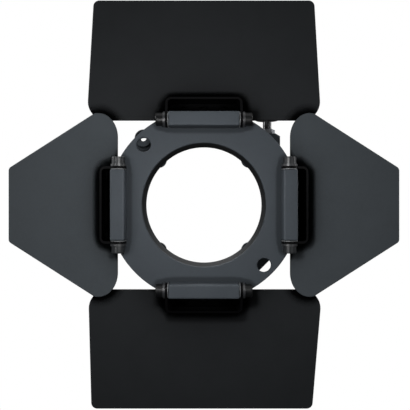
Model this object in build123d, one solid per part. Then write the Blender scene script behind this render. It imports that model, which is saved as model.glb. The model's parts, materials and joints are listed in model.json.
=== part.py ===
from build123d import *
import os
from math import atan2, degrees, hypot

# Barn door attachment. Millimetres, X to the right and Z up as seen from the front,
# the front facing -Y. The origin is on the light bore's axis, in the rear seating face.

# ---- Barrel: front plate, tube and rear frame ----
plate_diameter = 125.0
plate_thickness = 3.0
light_bore_radius = 40.3
tube_wall = 1.5
barrel_depth = 24.4           # plate's front face to the rear frame's front face
frame_thickness = 2.5
frame_square_flat = 58.0      # centre to the frame's four square-on sides
frame_corner_flat = 59.9      # centre to the frame's four diagonal sides
frame_bore_step = 0.7         # how far the frame's bore is cut back from the tube's
edge_bevel = 0.4

# ---- Rear fixing holes, four on the diagonals ----
fixing_hole_setback = 4.7     # light bore's wall to the fixing holes' middle
fixing_lug_radius = 5.6
fixing_hole_radius = 1.7

# ---- Screwdriver holes in the front plate ----
access_pitch_radius = 55.2
access_hole_radius = 4.6

# ---- Side fixing bush ----
bush_x = -42.3
bush_z = 46.6
bush_radius = 6.2
bush_collar_height = 1.5
bush_sleeve_radius = 3.5
bush_hole_radius = 2.1
bush_ear_width = 19.0
bush_bevel = 0.5
bush_sleeve_overlap = 0.5     # how far the sleeve runs up into the collar

# ---- Hinges, the same on all four sides ----
hinge_radius = 54.3           # centre to each hinge axis
block_width = 9.0
block_depth = 10.4
block_length = 44.8
block_edge_radius = 1.1
ear_radius = 5.1
ear_plate_clearance = 0.3     # the turning ear over the plate's face
friction_washer_thickness = 0.5
washer_thickness = 1.4
washer_radius = 5.0
screw_radius = 2.45
screw_thread_length = 12.0
screw_head_radius = 4.25
screw_head_length = 4.6
screw_head_round = 0.6
screw_socket_flats = 4.0
screw_socket_depth = 2.5
screw_bottom_space = 1.0      # below the screw's end in the block
running_clearance = 0.05      # pins in their holes, and turning faces

# ---- Screws that hold the hinge blocks to the plate, from behind ----
block_screw_spacing = 10.0
block_screw_radius = 1.95
block_screw_length = 8.5
block_screw_head_radius = 3.6
block_screw_head_depth = 1.9
block_screw_socket_flats = 2.5
block_screw_socket_depth = 1.4

# ---- Brackets: bent strip, standing on the leaves ----
strip_thickness = 1.5
bracket_bend_radius = 3.6
bracket_front_drop = 5.8      # from the ear's front down to the web's front edge
ear_arm_clearance = 1.0       # ear's inner edge beyond the plate's rim
foot_end_gap = 5.0            # ear's inner face to the foot's end
foot_thickness = 1.2
foot_edge_clearance = 1.4     # leaf's inner edge to the foot's edge
foot_corner_radius = 2.0
rivet_spacing = 13.0
rivet_count = 3
rivet_radius = 1.5
rivet_head_radius = 2.6
rivet_head_height = 1.1
rivet_head_round = 0.8
rivet_tail_height = 0.8
rivet_tail_round = 0.5

# ---- Leaves ----
leaf_thickness = 1.2
leaf_edge_bevel = 0.3
leaf_corner_radius = 12.7     # the corners beside the hinge
leaf_outer_radius = 4.0

side_leaf_depth = 7.0         # plate's front face to the leaf's front face
side_web_radius = 66.5
side_leaf_inner = 57.1
side_leaf_outer = 129.5
side_leaf_outer_half = 24.4
side_leaf_tip = 61.0
side_leaf_tip_radial = 72.3
side_corner_radial = 12.8
side_corner_along = 16.2
side_tip_radius = 5.0
side_outer_radius = 3.0

long_leaf_depth = 10.5
long_web_radius = 68.8
long_leaf_inner = 56.6
top_leaf_outer = 137.2
top_leaf_inner_half = 78.6
top_leaf_outer_half = 74.0
bottom_leaf_outer = 136.6
bottom_inner_left = 77.6
bottom_inner_right = 79.3
bottom_outer_left = 75.5
bottom_outer_right = 72.6

# ---- Latch: a sprung plunger that is pressed down ----
latch_x = 43.9
latch_setback = 5.0           # rear face to the plunger's axis
housing_width = 16.0
housing_depth = 11.0
housing_top = 48.8
housing_bar_height = 10.8
housing_leg_height = 8.0
housing_leg_width = 4.0
housing_corner_across = 3.1
housing_corner_down = 1.8
housing_ledge = 1.5           # the floor under the spring
frame_shoulder = 0.5          # the frame's edge beside the housing
pin_radius = 2.9
pin_below_bar = 5.0
pin_tip_bevel = 0.8
pin_collar_radius = 3.9
pin_collar_thickness = 1.2
guide_radius = 4.1
guide_thread_length = 3.0
guide_head_flats = 9.4
guide_head_height = 3.5
guide_head_bevel = 0.35
spring_wire_radius = 0.3
spring_gap = 0.2              # between the coil and the pin
spring_turns = 3.0
knob_clear_height = 6.7       # guide's head to the knob, the plunger at rest
knob_radius = 8.8
knob_height = 8.0
knob_top_round = 2.0
knob_foot_bevel = 0.6
knob_grip_share = 0.7         # how deep the pin goes into the knob
knob_flutes = 12
knob_flute_radius = 1.1
knob_flute_setback = 0.5
slot_spare = 4.0              # frame's slot below the plunger's tip
housing_screw_radius = 1.2
housing_screw_length = 8.0
housing_screw_head_radius = 1.9
housing_screw_head_depth = 1.0
housing_screw_socket_flats = 1.5
housing_screw_socket_depth = 0.9
housing_screw_drop = 4.5      # below the bar

# ---- Places along Y, worked out from the sizes above ----
rear_face = 0.0
plate_front = rear_face - frame_thickness - barrel_depth
plate_back = plate_front + plate_thickness
frame_front = rear_face - frame_thickness
tube_outer_radius = light_bore_radius + tube_wall
axis_y = plate_front - ear_radius - ear_plate_clearance
latch_y = rear_face - latch_setback
fixing_pitch_radius = light_bore_radius + fixing_hole_setback
plate_flat = hinge_radius + block_width / 2

# ---- Places along each hinge axis, from its middle ----
block_end = block_length / 2
ear_inner = block_end + friction_washer_thickness + running_clearance
ear_outer = ear_inner + strip_thickness
washer_inner = ear_outer + running_clearance
head_inner = washer_inner + washer_thickness

# ---- Heights in the latch ----
bar_bottom = housing_top - housing_bar_height
leg_bottom = bar_bottom - housing_leg_height
guide_top = housing_top + guide_head_height
guide_bottom = housing_top - guide_thread_length
collar_top = guide_bottom - running_clearance
collar_bottom = collar_top - pin_collar_thickness
ledge_top = bar_bottom + housing_ledge
knob_bottom = guide_top + knob_clear_height
pin_bottom = bar_bottom - pin_below_bar
screw_head_z = bar_bottom - housing_screw_drop

SIDES = {"right": 0, "top": -90, "left": 180, "bottom": 90}   # turn about Y
DIAGONALS = (45, 135, 225, 315)
ENDS = (-1, 1)
PICK_BAND = 0.01              # half of the band in which edges and corners are picked


def slab(outline, front, thickness):
    """An outline drawn in X and Z, solid from y = front back by its thickness."""
    return extrude(Plane.XZ.offset(-(front + thickness)) * outline, thickness)


def bar(profile, half_length):
    """A profile drawn in X and Y, solid to both sides of the middle along Z."""
    return extrude(profile, half_length, both=True)


def rod_y(radius, front, length, x, z):
    """A round rod along Y."""
    return slab(Pos(x, z) * Circle(radius), front, length)


def rod_z(radius, bottom, length, x, y):
    """A round rod along Z."""
    return Pos(x, y, bottom + length / 2) * Cylinder(radius, length)


def countersink(radius, shank_radius, depth, face, x, z):
    """A screw head's cone: wide at a rear face, narrowing forward to the shank."""
    wide = Plane(origin=(x, face, z), z_dir=(0, -1, 0))
    narrow = wide.offset(depth)
    return loft([wide * Circle(radius), narrow * Circle(shank_radius)])


def edges_at(solid, y):
    """The edges that lie in one plane across Y."""
    return solid.edges().filter_by_position(Axis.Y, y - PICK_BAND, y + PICK_BAND)


def place(solid, side):
    """From the right-hand hinge, where everything is drawn, to its own side."""
    return Rot(0, SIDES[side], 0) * solid


# ---------------------------------------------------------------- barrel

def front_plate():
    square = Rectangle(2 * plate_flat, 2 * plate_flat)
    outline = (Circle(plate_diameter / 2) & square) - Circle(light_bore_radius)
    for turn in (135, -45):
        outline -= Rot(0, 0, turn) * Pos(access_pitch_radius, 0) * Circle(access_hole_radius)
    plate = slab(outline, plate_front, plate_thickness)
    plate = chamfer(edges_at(plate, plate_front), edge_bevel)
    for side in SIDES:
        plate -= place(block_screw_pair(running_clearance), side)
    return plate


def bore_tube():
    ring = Circle(tube_outer_radius) - Circle(light_bore_radius)
    return slab(ring, plate_back, barrel_depth - plate_thickness)


def rear_frame():
    shape = Rectangle(2 * frame_square_flat, 2 * frame_square_flat)
    shape &= Rot(0, 0, 45) * Rectangle(2 * frame_corner_flat, 2 * frame_corner_flat)
    shape += bush_ear()
    shoulder = Rectangle(housing_width + 2 * frame_shoulder, bar_bottom - leg_bottom)
    shape += Pos(latch_x, (bar_bottom + leg_bottom) / 2) * shoulder
    shape -= Circle(light_bore_radius + frame_bore_step)
    for turn in DIAGONALS:
        shape += Rot(0, 0, turn) * Pos(fixing_pitch_radius, 0) * Circle(fixing_lug_radius)
    for turn in DIAGONALS:
        shape -= Rot(0, 0, turn) * Pos(fixing_pitch_radius, 0) * Circle(fixing_hole_radius)
    above_bar = plate_diameter / 2
    notch = Rectangle(housing_width + 2 * running_clearance, above_bar)
    shape -= Pos(latch_x, bar_bottom - running_clearance + above_bar / 2) * notch
    slot_width = housing_width - 2 * housing_leg_width
    slot_bottom = pin_bottom - slot_spare
    slot = Rectangle(slot_width, above_bar)
    shape -= Pos(latch_x, slot_bottom + above_bar / 2) * slot
    frame = slab(shape, frame_front, frame_thickness)
    frame -= rod_y(bush_sleeve_radius, frame_front, frame_thickness, bush_x, bush_z)
    frame -= housing_screw_pair(running_clearance)
    return frame


def bush_ear():
    """A square-sided ear of the frame that carries the bush, with a round end."""
    reach = hypot(bush_x, bush_z)
    turn = degrees(atan2(bush_z, bush_x))
    root = light_bore_radius + tube_wall
    ear = Pos((reach + root) / 2, 0) * Rectangle(reach - root, bush_ear_width)
    ear += Pos(reach, 0) * Circle(bush_radius)
    return Rot(0, 0, turn) * ear


def mount_bush():
    bush = rod_y(bush_radius, frame_front - bush_collar_height, bush_collar_height, bush_x, bush_z)
    bush = chamfer(edges_at(bush, frame_front - bush_collar_height), bush_bevel)
    sleeve_length = frame_thickness + bush_sleeve_overlap
    bush += rod_y(bush_sleeve_radius, rear_face - sleeve_length, sleeve_length, bush_x, bush_z)
    whole_length = bush_collar_height + frame_thickness
    return bush - rod_y(bush_hole_radius, rear_face - whole_length, whole_length, bush_x, bush_z)


# ---------------------------------------------------------------- hinges

def hinge_block():
    middle_y = plate_front - block_depth / 2
    block = Box(block_width, block_depth, block_length)
    on_plate = edges_at(block, block_depth / 2)
    block = fillet(block.edges() - on_plate, block_edge_radius)
    block = Pos(hinge_radius, middle_y, 0) * block
    bore = screw_radius + running_clearance
    depth = screw_thread_length + screw_bottom_space
    for end in ENDS:
        block -= Pos(hinge_radius, axis_y, end * (block_end - depth / 2)) * Cylinder(bore, depth)
    return block - block_screw_pair(running_clearance)


def block_screw_pair(clearance):
    """The two countersunk screws of one block, or with a clearance the space for them."""
    pair = Part()
    front = plate_back - block_screw_length - clearance
    length = plate_back - front
    for end in ENDS:
        z = end * block_screw_spacing / 2
        screw = rod_y(block_screw_radius + clearance, front, length, hinge_radius, z)
        head = block_screw_head_radius + clearance
        screw += countersink(head, block_screw_radius + clearance, block_screw_head_depth,
                             plate_back, hinge_radius, z)
        pair += screw
    return pair


def hex_recess(across, depth, face, x, z):
    """A hexagonal driving recess, cut forward from a rear face."""
    hexagon = Pos(x, z) * RegularPolygon(across / 2, 6, major_radius=False)
    return slab(hexagon, face - depth, depth)


def block_screws():
    screws = Part()
    for side in SIDES:
        pair = block_screw_pair(0)
        for end in ENDS:
            pair -= hex_recess(block_screw_socket_flats, block_screw_socket_depth, plate_back,
                               hinge_radius, end * block_screw_spacing / 2)
        screws += place(pair, side)
    return screws


def hinge_screws():
    head = Pos(0, 0, head_inner + screw_head_length / 2) * Cylinder(screw_head_radius, screw_head_length)
    head = fillet(head.edges().sort_by(Axis.Z)[-1], screw_head_round)
    recess = extrude(RegularPolygon(screw_socket_flats / 2, 6, major_radius=False), screw_socket_depth)
    head -= Pos(0, 0, head_inner + screw_head_length - screw_socket_depth) * recess
    shank_length = head_inner - block_end + screw_thread_length
    screw = head + Pos(0, 0, head_inner - shank_length / 2) * Cylinder(screw_radius, shank_length)
    return both_ends(screw)


def ring_at(inner_radius, outer_radius, start, thickness):
    ring = Cylinder(outer_radius, thickness) - Cylinder(inner_radius, thickness)
    return Pos(0, 0, start + thickness / 2) * ring


def hinge_washers():
    return both_ends(ring_at(screw_radius + running_clearance, washer_radius, washer_inner, washer_thickness))


def friction_washers():
    return both_ends(ring_at(screw_radius + running_clearance, washer_radius, block_end,
                             friction_washer_thickness))


def both_ends(piece):
    """A piece drawn on the Z axis, put on the hinge axis at its two ends."""
    upper = Pos(hinge_radius, axis_y, 0) * piece
    return upper + Pos(hinge_radius, axis_y, 0) * Rot(180, 0, 0) * piece


# ---------------------------------------------------------------- brackets and leaves

def ear_profile(web_radius, leaf_front):
    """Side view of an ear, X and Y: a round end on the axis and an arm out to the web."""
    ear_front = axis_y - ear_radius
    ear_back = axis_y + ear_radius
    arm_inner = plate_flat + ear_arm_clearance
    arm = Polygon(
        (hinge_radius, ear_front),
        (web_radius, ear_front + bracket_front_drop),
        (web_radius, leaf_front),
        (arm_inner, leaf_front),
        (arm_inner, ear_back),
        (hinge_radius, ear_back),
        align=None,
    )
    return arm + Pos(hinge_radius, axis_y) * Circle(ear_radius)


def bent_strip(web_radius):
    """Plan of the strip, X and Z: a web with an ear bent inward at each end."""
    inner_x = hinge_radius - 2 * ear_radius
    outer = Polygon((inner_x, -ear_outer), (web_radius, -ear_outer), (web_radius, ear_outer),
                    (inner_x, ear_outer), align=None)
    web_inner = web_radius - strip_thickness
    inner = Polygon((inner_x, -ear_inner), (web_inner, -ear_inner), (web_inner, ear_inner),
                    (inner_x, ear_inner), align=None)
    outer = fillet(outer.vertices().sort_by(Axis.X)[-2:], bracket_bend_radius)
    inner = fillet(inner.vertices().sort_by(Axis.X)[-2:], bracket_bend_radius - strip_thickness)
    return outer - inner


def rivet_places(web_radius, leaf_inner):
    foot_inner = leaf_inner + foot_edge_clearance
    radial = (foot_inner + web_radius - strip_thickness) / 2
    first = -rivet_spacing * (rivet_count - 1) / 2
    return [(radial, first + i * rivet_spacing) for i in range(rivet_count)]


def bracket(web_radius, leaf_front, leaf_inner):
    ear_front = axis_y - ear_radius
    strip = slab(bent_strip(web_radius), ear_front, leaf_front - ear_front)
    strip &= bar(ear_profile(web_radius, leaf_front), ear_outer)
    foot_inner = leaf_inner + foot_edge_clearance
    web_inner = web_radius - strip_thickness
    foot = Rectangle(web_inner - foot_inner + strip_thickness / 2, 2 * (ear_inner - foot_end_gap))
    foot = Pos((web_inner + strip_thickness / 2 + foot_inner) / 2, 0) * foot
    foot = fillet(foot.vertices().sort_by(Axis.X)[:2], foot_corner_radius)
    strip += slab(foot, leaf_front - foot_thickness, foot_thickness)
    strip -= Pos(hinge_radius, axis_y, 0) * Cylinder(screw_radius + running_clearance, 2 * ear_outer)
    for radial, along in rivet_places(web_radius, leaf_inner):
        strip -= rod_y(rivet_radius + running_clearance, leaf_front - foot_thickness,
                       foot_thickness, radial, along)
    return strip


def bracket_rivets(web_radius, leaf_front, leaf_inner):
    rivets = Part()
    foot_front = leaf_front - foot_thickness
    leaf_back = leaf_front + leaf_thickness
    for radial, along in rivet_places(web_radius, leaf_inner):
        rivet = rod_y(rivet_radius, foot_front, leaf_back - foot_front, radial, along)
        head = rod_y(rivet_head_radius, foot_front - rivet_head_height, rivet_head_height, radial, along)
        rivet += fillet(edges_at(head, foot_front - rivet_head_height), rivet_head_round)
        tail = rod_y(rivet_head_radius, leaf_back, rivet_tail_height, radial, along)
        rivet += fillet(edges_at(tail, leaf_back + rivet_tail_height), rivet_tail_round)
        rivets += rivet
    return rivets


def leaf(outline, leaf_front, web_radius, leaf_inner):
    plate = slab(outline, leaf_front, leaf_thickness)
    rim = edges_at(plate, leaf_front) + edges_at(plate, leaf_front + leaf_thickness)
    plate = chamfer(rim, leaf_edge_bevel)
    for radial, along in rivet_places(web_radius, leaf_inner):
        plate -= rod_y(rivet_radius + running_clearance, leaf_front, leaf_thickness, radial, along)
    return plate


def side_outline():
    """A wedge that narrows outward, with long rounded corners beside the hinge."""
    straight = side_leaf_tip - side_corner_along
    corner_x = side_leaf_inner + side_corner_radial
    upper = EllipticalCenterArc((corner_x, straight), side_corner_radial, side_corner_along,
                                start_angle=90, arc_size=90)
    lower = EllipticalCenterArc((corner_x, -straight), side_corner_radial, side_corner_along,
                                start_angle=180, arc_size=90)
    inner = Line((side_leaf_inner, straight), (side_leaf_inner, -straight))
    outer = Polyline(
        (corner_x, -side_leaf_tip),
        (side_leaf_tip_radial, -side_leaf_tip),
        (side_leaf_outer, -side_leaf_outer_half),
        (side_leaf_outer, side_leaf_outer_half),
        (side_leaf_tip_radial, side_leaf_tip),
        (corner_x, side_leaf_tip),
    )
    face = make_face([upper, inner, lower] + list(outer.edges()))
    corners = face.vertices().sort_by(Axis.X)
    face = fillet(corners[-2:], side_outer_radius)
    tips = face.vertices().filter_by_position(Axis.X, side_leaf_tip_radial - PICK_BAND,
                                              side_leaf_tip_radial + PICK_BAND)
    return fillet(tips, side_tip_radius)


def long_outline(outer_radial, inner_low, inner_high, outer_low, outer_high):
    """A four-sided leaf, X outward from the centre and Z along the hinge."""
    face = Polygon(
        (long_leaf_inner, -inner_low),
        (outer_radial, -outer_low),
        (outer_radial, outer_high),
        (long_leaf_inner, inner_high),
        align=None,
    )
    face = fillet(face.vertices().sort_by(Axis.X)[:2], leaf_corner_radius)
    return fillet(face.vertices().sort_by(Axis.X)[-2:], leaf_outer_radius)


def leaf_set(side):
    """Outline, front face, web radius and inner edge of the leaf on one side."""
    if side in ("left", "right"):
        return side_outline(), plate_front + side_leaf_depth, side_web_radius, side_leaf_inner
    if side == "top":
        outline = long_outline(top_leaf_outer, top_leaf_inner_half, top_leaf_inner_half,
                               top_leaf_outer_half, top_leaf_outer_half)
    else:
        outline = long_outline(bottom_leaf_outer, bottom_inner_left, bottom_inner_right,
                               bottom_outer_left, bottom_outer_right)
    return outline, plate_front + long_leaf_depth, long_web_radius, long_leaf_inner


# ---------------------------------------------------------------- latch

def latch_housing():
    """A bar that the plunger passes down through, on two legs in front of the frame."""
    half = housing_width / 2
    outline = Polygon(
        (-half, leg_bottom),
        (half, leg_bottom),
        (half, housing_top - housing_corner_down),
        (half - housing_corner_across, housing_top),
        (-half + housing_corner_across, housing_top),
        (-half, housing_top - housing_corner_down),
        align=None,
    )
    front = rear_face - housing_depth
    housing = slab(Pos(latch_x, 0) * outline, front, housing_depth)
    leg_middle = leg_bottom + housing_leg_height / 2
    between = housing_width - 2 * housing_leg_width
    housing -= Pos(latch_x, front + housing_depth / 2, leg_middle) * Box(
        between, housing_depth, housing_leg_height)
    housing -= Pos(latch_x, frame_front + frame_thickness / 2, leg_middle) * Box(
        housing_width, frame_thickness, housing_leg_height)
    chamber = guide_radius + running_clearance
    housing -= rod_z(chamber, ledge_top, housing_top - ledge_top, latch_x, latch_y)
    housing -= rod_z(pin_radius + running_clearance, bar_bottom, housing_ledge, latch_x, latch_y)
    return housing - housing_screw_pair(running_clearance)


def housing_screw_places():
    offset = (housing_width - housing_leg_width) / 2
    return [latch_x - offset, latch_x + offset]


def housing_screw_pair(clearance):
    """The two countersunk screws from the rear frame into the housing's legs."""
    pair = Part()
    front = rear_face - housing_screw_length - clearance
    radius = housing_screw_radius + clearance
    for x in housing_screw_places():
        screw = rod_y(radius, front, rear_face - front, x, screw_head_z)
        screw += countersink(housing_screw_head_radius + clearance, radius, housing_screw_head_depth,
                             rear_face, x, screw_head_z)
        pair += screw
    return pair


def housing_screws():
    pair = housing_screw_pair(0)
    for x in housing_screw_places():
        pair -= hex_recess(housing_screw_socket_flats, housing_screw_socket_depth, rear_face,
                           x, screw_head_z)
    return pair


def latch_guide():
    """A hexagon-headed bush screwed into the housing, in which the pin slides."""
    hexagon = RegularPolygon(guide_head_flats / 2, 6, major_radius=False)
    head = Pos(latch_x, latch_y, housing_top) * extrude(hexagon, guide_head_height)
    head = chamfer(head.edges().group_by(Axis.Z)[-1], guide_head_bevel)
    thread = rod_z(guide_radius, guide_bottom, guide_thread_length, latch_x, latch_y)
    hole = rod_z(pin_radius + running_clearance, guide_bottom, guide_top - guide_bottom, latch_x, latch_y)
    return head + thread - hole


def latch_spring():
    """An open coil round the pin, from the housing's ledge up to the pin's collar."""
    height = collar_bottom - ledge_top - 2 * running_clearance
    rise = height - 2 * spring_wire_radius
    path = Helix(rise / spring_turns, rise, pin_radius + spring_gap + spring_wire_radius)
    section = Plane(origin=path @ 0, z_dir=path % 0) * Circle(spring_wire_radius)
    coil = sweep(section, path)
    return Pos(latch_x, latch_y, ledge_top + running_clearance + spring_wire_radius) * coil


def latch_pin():
    """The plunger: a pin with a collar that the spring lifts against the guide."""
    top = knob_bottom + knob_grip_share * knob_height
    pin = rod_z(pin_radius, pin_bottom, top - pin_bottom, latch_x, latch_y)
    pin = chamfer(pin.edges().sort_by(Axis.Z)[0], pin_tip_bevel)
    return pin + rod_z(pin_collar_radius, collar_bottom, pin_collar_thickness, latch_x, latch_y)


def latch_knob():
    knob = Cylinder(knob_radius, knob_height)
    for i in range(knob_flutes):
        flute = Pos(knob_radius + knob_flute_setback, 0, 0) * Cylinder(knob_flute_radius, knob_height)
        knob -= Rot(0, 0, 360 / knob_flutes * i) * flute
    cap = Cylinder(knob_radius, knob_height)
    cap = fillet(cap.edges().sort_by(Axis.Z)[-1], knob_top_round)
    cap = chamfer(cap.edges().sort_by(Axis.Z)[0], knob_foot_bevel)
    knob = Pos(latch_x, latch_y, knob_bottom + knob_height / 2) * (knob & cap)
    return knob - rod_z(pin_radius, knob_bottom, knob_grip_share * knob_height, latch_x, latch_y)


# ---------------------------------------------------------------- write every piece

def pieces():
    yield "front_plate", front_plate()
    yield "bore_tube", bore_tube()
    yield "rear_frame", rear_frame()
    yield "mount_bush", mount_bush()
    yield "block_screws", block_screws()
    for side in SIDES:
        yield f"hinge_block_{side}", place(hinge_block(), side)
        yield f"hinge_screws_{side}", place(hinge_screws(), side)
        yield f"hinge_washers_{side}", place(hinge_washers(), side)
        yield f"friction_washers_{side}", place(friction_washers(), side)
        outline, front, web, inner = leaf_set(side)
        yield f"leaf_{side}", place(leaf(outline, front, web, inner), side)
        yield f"bracket_{side}", place(bracket(web, front, inner), side)
        yield f"bracket_rivets_{side}", place(bracket_rivets(web, front, inner), side)
    yield "latch_housing", latch_housing()
    yield "latch_housing_screws", housing_screws()
    yield "latch_guide", latch_guide()
    yield "latch_spring", latch_spring()
    yield "latch_pin", latch_pin()
    yield "latch_knob", latch_knob()


os.makedirs("parts", exist_ok=True)
for name, piece in pieces():
    export_step(piece, f"parts/{name}.step")
    print(name, round(piece.volume, 2))
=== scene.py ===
import json
import math

import bpy
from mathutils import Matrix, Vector


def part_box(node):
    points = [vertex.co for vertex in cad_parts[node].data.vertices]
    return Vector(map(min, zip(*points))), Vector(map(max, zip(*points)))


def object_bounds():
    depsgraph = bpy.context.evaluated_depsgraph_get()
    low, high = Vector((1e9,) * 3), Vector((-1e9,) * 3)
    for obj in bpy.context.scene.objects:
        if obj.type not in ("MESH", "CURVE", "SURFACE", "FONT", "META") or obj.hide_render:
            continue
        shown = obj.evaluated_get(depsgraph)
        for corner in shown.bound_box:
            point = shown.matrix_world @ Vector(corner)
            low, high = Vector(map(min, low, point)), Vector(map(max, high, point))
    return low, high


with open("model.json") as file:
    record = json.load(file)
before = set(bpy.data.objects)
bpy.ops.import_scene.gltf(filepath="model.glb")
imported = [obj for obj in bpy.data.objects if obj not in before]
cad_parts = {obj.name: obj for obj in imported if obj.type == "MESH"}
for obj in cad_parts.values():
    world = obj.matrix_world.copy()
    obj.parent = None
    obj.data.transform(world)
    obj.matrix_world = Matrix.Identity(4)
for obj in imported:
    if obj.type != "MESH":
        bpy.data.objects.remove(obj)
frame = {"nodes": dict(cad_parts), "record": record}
cad_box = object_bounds()

MM = 0.001

# ---- Places read from the frame ----
plate_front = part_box("front_plate")[0].y
FLOOR_DROP = 40 * MM          # below the lowest leaf, so that the floor darkens no corner
FLOOR_WIDTH = 6
floor_height = cad_box[0].z - FLOOR_DROP

# ---- Camera: level, in front of the plate, on the bore's axis ----
CAMERA_DISTANCE = 0.291
VIEW_WIDTH_AT_PLATE = 0.26515
SENSOR = 36.0
CAMERA_SHIFT = 0.002561       # share of the frame's width that the view is moved to the right
CAMERA_NEAR = 0.01

# ---- Light ----
SURROUND_FILL = 0.05          # how much of its white the surround gives as light
KEY_DISTANCE = 0.135          # in front of the plate
# name, place, width in metres, watts
LAMPS = (
    ("front_key", (-0.012, plate_front - KEY_DISTANCE, 0.014), 0.025, 0.165),
    ("left_main", (-0.58, -0.82, 0.04), 0.25, 2.1),
    ("right_main", (0.58, -0.82, 0.04), 0.25, 0.8),
    ("overhead", (-0.05, -0.12, 1.1), 1.4, 6.0),
    ("side_left", (-1.1, 0.06, 0.45), 0.4, 8.0),
    ("side_right", (1.1, 0.06, 0.45), 0.4, 8.0),
    ("back_left", (-0.4, 0.8, 0.9), 0.7, 10.0),
    ("back_right", (0.5, 0.8, 0.9), 0.7, 8.0),
)

# ---- Texture sizes, in millimetres ----
MOTTLE = 14.0
FINE = 1.6
RUB = 2.6
COAT_EDGE = 0.35
STEEL_LINES = 0.9
STEEL_CLOUD = 4.0
STEEL_EDGE = 0.2
MOULD_GRAIN = 0.25
MOULD_HANDLING = 6.0

# ---- Sockets of a colour Mix node, which share their names with the other kinds ----
MIX_FIRST, MIX_SECOND, MIX_RESULT = 6, 7, 2


def linear(red, green, blue):
    """sRGB bytes to the linear colour that a shader takes."""
    def one(v):
        v /= 255
        return v / 12.92 if v <= 0.04045 else ((v + 0.055) / 1.055) ** 2.4
    return (one(red), one(green), one(blue), 1.0)


# ---------------------------------------------------------------- materials

class Nodes:
    """A few short ways of adding nodes to one material."""

    def __init__(self, name):
        self.material = bpy.data.materials.new(name)
        self.material.use_nodes = True
        self.tree = self.material.node_tree
        self.shader = self.tree.nodes["Principled BSDF"]
        self.place = self.tree.nodes.new("ShaderNodeTexCoord").outputs["Object"]

    def link(self, source, target):
        self.tree.links.new(source, target)

    def noise(self, size_mm, detail, stretch=(1, 1, 1)):
        """Noise whose blotches are about size_mm across."""
        mapping = self.tree.nodes.new("ShaderNodeMapping")
        mapping.inputs["Scale"].default_value = stretch
        self.link(self.place, mapping.inputs["Vector"])
        node = self.tree.nodes.new("ShaderNodeTexNoise")
        node.inputs["Scale"].default_value = 1 / (size_mm * MM)
        node.inputs["Detail"].default_value = detail
        self.link(mapping.outputs["Vector"], node.inputs["Vector"])
        return node.outputs["Fac"]

    def ramp(self, value, low, high, out_low=0.0, out_high=1.0):
        node = self.tree.nodes.new("ShaderNodeMapRange")
        node.inputs["From Min"].default_value = low
        node.inputs["From Max"].default_value = high
        node.inputs["To Min"].default_value = out_low
        node.inputs["To Max"].default_value = out_high
        self.link(value, node.inputs["Value"])
        return node.outputs["Result"]

    def math(self, operation, first, second):
        node = self.tree.nodes.new("ShaderNodeMath")
        node.operation = operation
        for socket, value in zip(node.inputs, (first, second)):
            if isinstance(value, (int, float)):
                socket.default_value = value
            else:
                self.link(value, socket)
        return node.outputs[0]

    def mix(self, factor, first, second):
        node = self.tree.nodes.new("ShaderNodeMix")
        node.data_type = "RGBA"
        self.link(factor, node.inputs["Factor"])
        for place, value in ((MIX_FIRST, first), (MIX_SECOND, second)):
            socket = node.inputs[place]
            if isinstance(value, tuple):
                socket.default_value = value
            else:
                self.link(value, socket)
        return node.outputs[MIX_RESULT]

    def edges(self, radius_mm):
        """1 along sharp edges and 0 on flat ground, from the rounded normal."""
        bevel = self.tree.nodes.new("ShaderNodeBevel")
        bevel.samples = 4
        bevel.inputs["Radius"].default_value = radius_mm * MM
        geometry = self.tree.nodes.new("ShaderNodeNewGeometry")
        dot = self.tree.nodes.new("ShaderNodeVectorMath")
        dot.operation = "DOT_PRODUCT"
        self.link(bevel.outputs["Normal"], dot.inputs[0])
        self.link(geometry.outputs["True Normal"], dot.inputs[1])
        return self.ramp(dot.outputs["Value"], 0.99, 0.8)

    def occlusion_shade(self, reach_mm, open_at, closed_at, most=1.0, samples=8):
        """Painted shade mask from the occlusion term: from 0 on open ground to most, deep in a corner or
        gap or close beside another piece.
        """
        occlusion = self.tree.nodes.new("ShaderNodeAmbientOcclusion")
        occlusion.samples = samples
        occlusion.inputs["Distance"].default_value = reach_mm * MM
        return self.ramp(occlusion.outputs["AO"], open_at, closed_at, 0.0, most)

    def bump(self, height, depth_mm, strength, below=None):
        node = self.tree.nodes.new("ShaderNodeBump")
        node.inputs["Strength"].default_value = strength
        node.inputs["Distance"].default_value = depth_mm * MM
        self.link(height, node.inputs["Height"])
        if below is not None:
            self.link(below, node.inputs["Normal"])
        return node.outputs["Normal"]

    def finish(self, colour, roughness, normal, specular=None):
        self.link(colour, self.shader.inputs["Base Color"])
        if specular is not None:
            self.link(specular, self.shader.inputs["Specular IOR Level"])
        self.link(roughness, self.shader.inputs["Roughness"])
        self.link(normal, self.shader.inputs["Normal"])
        return self.material


def shade(colour, factor):
    return (colour[0] * factor, colour[1] * factor, colour[2] * factor, 1.0)


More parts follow.
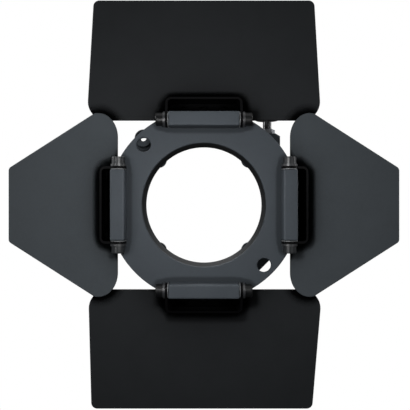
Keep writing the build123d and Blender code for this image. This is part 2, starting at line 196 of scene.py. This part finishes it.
def coated(name, colour, rough, specular, grain_mm=0.35, grain_depth=0.012, edge_amount=0.35, edge_tone=2.2,
           near_shade=(6.0, 0.62, 0.25), painted_shade=0.12, wide_shade=None):
    """A dark coat on aluminium: fine grain, faint mottling, a patchy edge tone, and painted shade and
    shadow in corners, gaps and beside nearby pieces.
    """
    n = Nodes(name)
    n.shader.inputs["Specular IOR Level"].default_value = specular
    mottle = n.noise(MOTTLE, detail=4.0)
    fine = n.noise(FINE, detail=3.0)
    grain = n.noise(grain_mm, detail=2.0)
    base = n.mix(n.ramp(mottle, 0.3, 0.7), shade(colour, 0.94), shade(colour, 1.05))
    base = n.mix(n.ramp(fine, 0.35, 0.65, 0.0, 0.5), base, shade(colour, 1.08))
    # Edge tone in random patches along sharp edges: lighter where edge_tone is over 1, as rubbed wear;
    # darker where it is under 1, as on the leaves, a painted shade line along the edges.
    patches = n.ramp(n.noise(RUB, detail=4.0), 0.38, 0.62, 0.35, 1.0)
    edge_mark = n.math("MULTIPLY", n.edges(COAT_EDGE), patches)
    base = n.mix(n.math("MULTIPLY", edge_mark, edge_amount), base, shade(colour, edge_tone))
    # Painted shadow and shade: towards the colour times painted_shade where nearby pieces close off the
    # open ground, from the occlusion term.
    if wide_shade:
        base = n.mix(n.occlusion_shade(*wide_shade), base, shade(colour, painted_shade))
    shade_mask = n.occlusion_shade(*near_shade, samples=16)
    base = n.mix(shade_mask, base, shade(colour, painted_shade))
    roughness = n.math("ADD", n.ramp(mottle, 0.3, 0.7, rough - 0.04, rough + 0.03),
                       n.ramp(grain, 0.3, 0.7, -0.03, 0.03))
    normal = n.bump(grain, grain_depth, 0.35)
    normal = n.bump(fine, grain_depth * 1.6, 0.2, below=normal)
    # The painted shade also lowers the specular level in the same places.
    return n.finish(base, roughness, normal, n.ramp(shade_mask, 0.0, 1.0, specular, specular * painted_shade))


def brushed(name, colour, rough, metallic, along=(1, 1, 14), edge_tone=1.5, specular=0.5):
    """Steel, bare or blackened: fine lines or an even grain, with brighter edges."""
    n = Nodes(name)
    n.shader.inputs["Metallic"].default_value = metallic
    n.shader.inputs["Specular IOR Level"].default_value = specular
    lines = n.noise(STEEL_LINES, detail=4.0, stretch=along)
    cloud = n.noise(STEEL_CLOUD, detail=3.0)
    base = n.mix(n.ramp(cloud, 0.3, 0.7), shade(colour, 0.82), shade(colour, 1.12))
    base = n.mix(n.math("MULTIPLY", n.edges(STEEL_EDGE), 0.5), base, shade(colour, edge_tone))
    # Painted shade in gaps and corners between pieces, such as under the screw heads.
    base = n.mix(n.occlusion_shade(2.5, 0.75, 0.45), base, shade(colour, 0.15))
    roughness = n.math("ADD", n.ramp(cloud, 0.3, 0.7, rough - 0.03, rough + 0.04),
                       n.ramp(lines, 0.3, 0.7, -0.03, 0.03))
    return n.finish(base, roughness, n.bump(lines, 0.004, 0.2))


def moulded(name, colour, rough):
    """Moulded plastic: a fine spark-eroded grain and a faint sheen of handling."""
    n = Nodes(name)
    grain = n.noise(MOULD_GRAIN, detail=2.0)
    handled = n.noise(MOULD_HANDLING, detail=3.0)
    base = n.mix(n.ramp(handled, 0.35, 0.65), shade(colour, 0.9), shade(colour, 1.15))
    roughness = n.ramp(handled, 0.3, 0.7, rough - 0.06, rough + 0.06)
    return n.finish(base, roughness, n.bump(grain, 0.015, 0.4))


PLATE = linear(59, 64, 69)
SIDE_LEAF = linear(67, 72, 76)
LONG_LEAF = linear(37, 39, 41)
HARDWARE = linear(30, 32, 34)
# On the leaves, painted shadow: near_shade darkens them beside the brackets and around the side leaves'
# tips, and wide_shade darkens them slowly over 40 mm near the plate and hinges; edge_tone under 1 paints
# their edges darker.
LEAF_COAT = {"painted_shade": 0.05, "edge_amount": 0.6, "edge_tone": 0.3, "near_shade": (8.0, 0.985, 0.92),
             "wide_shade": (40.0, 1.0, 0.7, 0.6)}

# Each coated material below is darkened by painted shade in its corners and gaps and beside nearby pieces.
MATERIALS = {
    # Painted shadow on the plate beside the hinge blocks.
    "plate_black": coated("plate_black", PLATE, 0.62, 0.15, grain_mm=0.25, grain_depth=0.006,
                          near_shade=(4.5, 0.97, 0.86), painted_shade=0.55),
    "bore_black": coated("bore_black", linear(30, 32, 34), 0.62, 0.1, grain_depth=0.004, painted_shade=0.6),
    # Painted shade on the rear frame where it lies behind the plate, reaching 30 mm.
    "frame_black": coated("frame_black", linear(62, 67, 72), 0.62, 0.15, near_shade=(30.0, 0.6, 0.35)),
    "block_black": coated("block_black", linear(60, 65, 70), 0.55, 0.15, grain_mm=0.2, grain_depth=0.006,
                          edge_amount=0.1),
    # Painted light: the housing is much lighter than a black coat, standing in for light on its front
    # corner.
    "housing_black": coated("housing_black", linear(76, 82, 88), 0.55, 0.2, edge_amount=0.2, near_shade=(3.0, 0.5, 0.2)),
    "side_leaf_black": coated("side_leaf_black", SIDE_LEAF, 0.55, 0.12, grain_mm=0.45, grain_depth=0.01,
                              **LEAF_COAT),
    "long_leaf_black": coated("long_leaf_black", LONG_LEAF, 0.6, 0.1, grain_mm=0.45, grain_depth=0.008,
                              **LEAF_COAT),
    # Painted shade: brackets and rivets are near black, darker than a black coat, for the deep shade
    # between web and block.
    "bracket_black": coated("bracket_black", linear(6, 6, 7), 0.55, 0.05, edge_amount=0.1, edge_tone=2.0,
                            near_shade=(14.0, 0.62, 0.25)),
    "rivet_black": coated("rivet_black", linear(8, 8, 9), 0.5, 0.06, edge_amount=0.2, near_shade=(14.0, 0.62, 0.25)),
    "screw_black": brushed("screw_black", HARDWARE, 0.36, 0.0, along=(1, 1, 1), specular=0.45),
    # Painted shade: a darker copy of the screw material, for the top and bottom hinge screws.
    "screw_shaded_copy": brushed("screw_shaded_copy", linear(12, 13, 14), 0.4, 0.0, along=(1, 1, 1), specular=0.25),
    "washer_black": brushed("washer_black", linear(42, 43, 45), 0.38, 0.0),
    "dark_steel": brushed("dark_steel", linear(70, 74, 78), 0.4, 0.5),
    "bright_steel": brushed("bright_steel", linear(160, 163, 168), 0.38, 0.7),
    "spring_steel": brushed("spring_steel", linear(196, 174, 144), 0.35, 0.85),
    "pin_steel": brushed("pin_steel", linear(70, 70, 72), 0.28, 0.8),
    # Painted highlight: the friction washers are lighter than black nylon, standing in for the light caught
    # between ear and block.
    "friction_nylon": moulded("friction_nylon", linear(84, 86, 88), 0.5),
    "knob_plastic": moulded("knob_plastic", linear(52, 54, 56), 0.45),
}


# A match, painted shade: the top and bottom hinge screws look darker than the left and right ones, so they
# take a darker copy of the screw material.
OWN_LOOK = {"hinge_screws_top": "screw_shaded_copy", "hinge_screws_bottom": "screw_shaded_copy"}


def dress_frame():
    """Gives every CAD node the material of its slot, or the node's own look."""
    slots = {entry["node"]: entry["material_slot"] for entry in frame["record"]["subparts"]}
    slots.update(OWN_LOOK)
    for node, thing in frame["nodes"].items():
        if thing.data.materials:
            thing.data.materials[0] = MATERIALS[slots[node]]
        else:
            thing.data.materials.append(MATERIALS[slots[node]])


# ---------------------------------------------------------------- floor, light and camera

def stage_floor():
    """A white floor that lights nothing."""
    bpy.ops.mesh.primitive_plane_add(size=FLOOR_WIDTH, location=(0, 0, floor_height))
    floor = bpy.context.object
    floor.name = "studio_floor"
    material = bpy.data.materials.new("studio_floor")
    material.use_nodes = True
    shader = material.node_tree.nodes["Principled BSDF"]
    # It takes no light, so that it is white and no brighter: more would eat into thin edges before it.
    shader.inputs["Base Color"].default_value = (0, 0, 0, 1)
    shader.inputs["Specular IOR Level"].default_value = 0
    shader.inputs["Emission Color"].default_value = (1, 1, 1, 1)
    shader.inputs["Emission Strength"].default_value = 1.0
    floor.data.materials.append(material)
    floor.visible_diffuse = False
    floor.visible_glossy = False


def white_surround(light_level):
    """White behind the object, but only a dim fill on it."""
    world = bpy.data.worlds.new("surround")
    bpy.context.scene.world = world
    world.use_nodes = True
    tree = world.node_tree
    background = tree.nodes["Background"]
    path = tree.nodes.new("ShaderNodeLightPath")
    strength = tree.nodes.new("ShaderNodeMapRange")
    strength.inputs["To Min"].default_value = light_level
    strength.inputs["To Max"].default_value = 1.0
    tree.links.new(path.outputs["Is Camera Ray"], strength.inputs["Value"])
    tree.links.new(strength.outputs["Result"], background.inputs["Strength"])
    background.inputs["Color"].default_value = (1, 1, 1, 1)


def softbox(name, place, width, watts):
    """A square lamp that the camera doesn't see, aimed at the origin."""
    lamp = bpy.data.lights.new(name, "AREA")
    lamp.shape = "SQUARE"
    lamp.size = width
    lamp.energy = watts
    thing = bpy.data.objects.new(name, lamp)
    thing.location = place
    thing.rotation_euler = (-Vector(place)).to_track_quat("-Z", "Y").to_euler()
    thing.visible_camera = False
    bpy.context.scene.collection.objects.link(thing)


def lights():
    for name, place, width, watts in LAMPS:
        softbox(name, place, width, watts)


def camera():
    """A level camera that takes in VIEW_WIDTH_AT_PLATE at the plate's front face."""
    data = bpy.data.cameras.new("camera")
    thing = bpy.data.objects.new("camera", data)
    bpy.context.scene.collection.objects.link(thing)
    data.sensor_width = SENSOR
    data.lens = SENSOR * CAMERA_DISTANCE / VIEW_WIDTH_AT_PLATE
    data.shift_x = CAMERA_SHIFT
    data.clip_start = CAMERA_NEAR
    thing.location = (0, plate_front - CAMERA_DISTANCE, 0)
    thing.rotation_euler = (math.radians(90), 0, 0)
    bpy.context.scene.camera = thing


dress_frame()
stage_floor()
white_surround(SURROUND_FILL)
lights()
camera()
bpy.context.scene.view_settings.view_transform = "Standard"
bpy.context.scene.view_settings.look = "None"
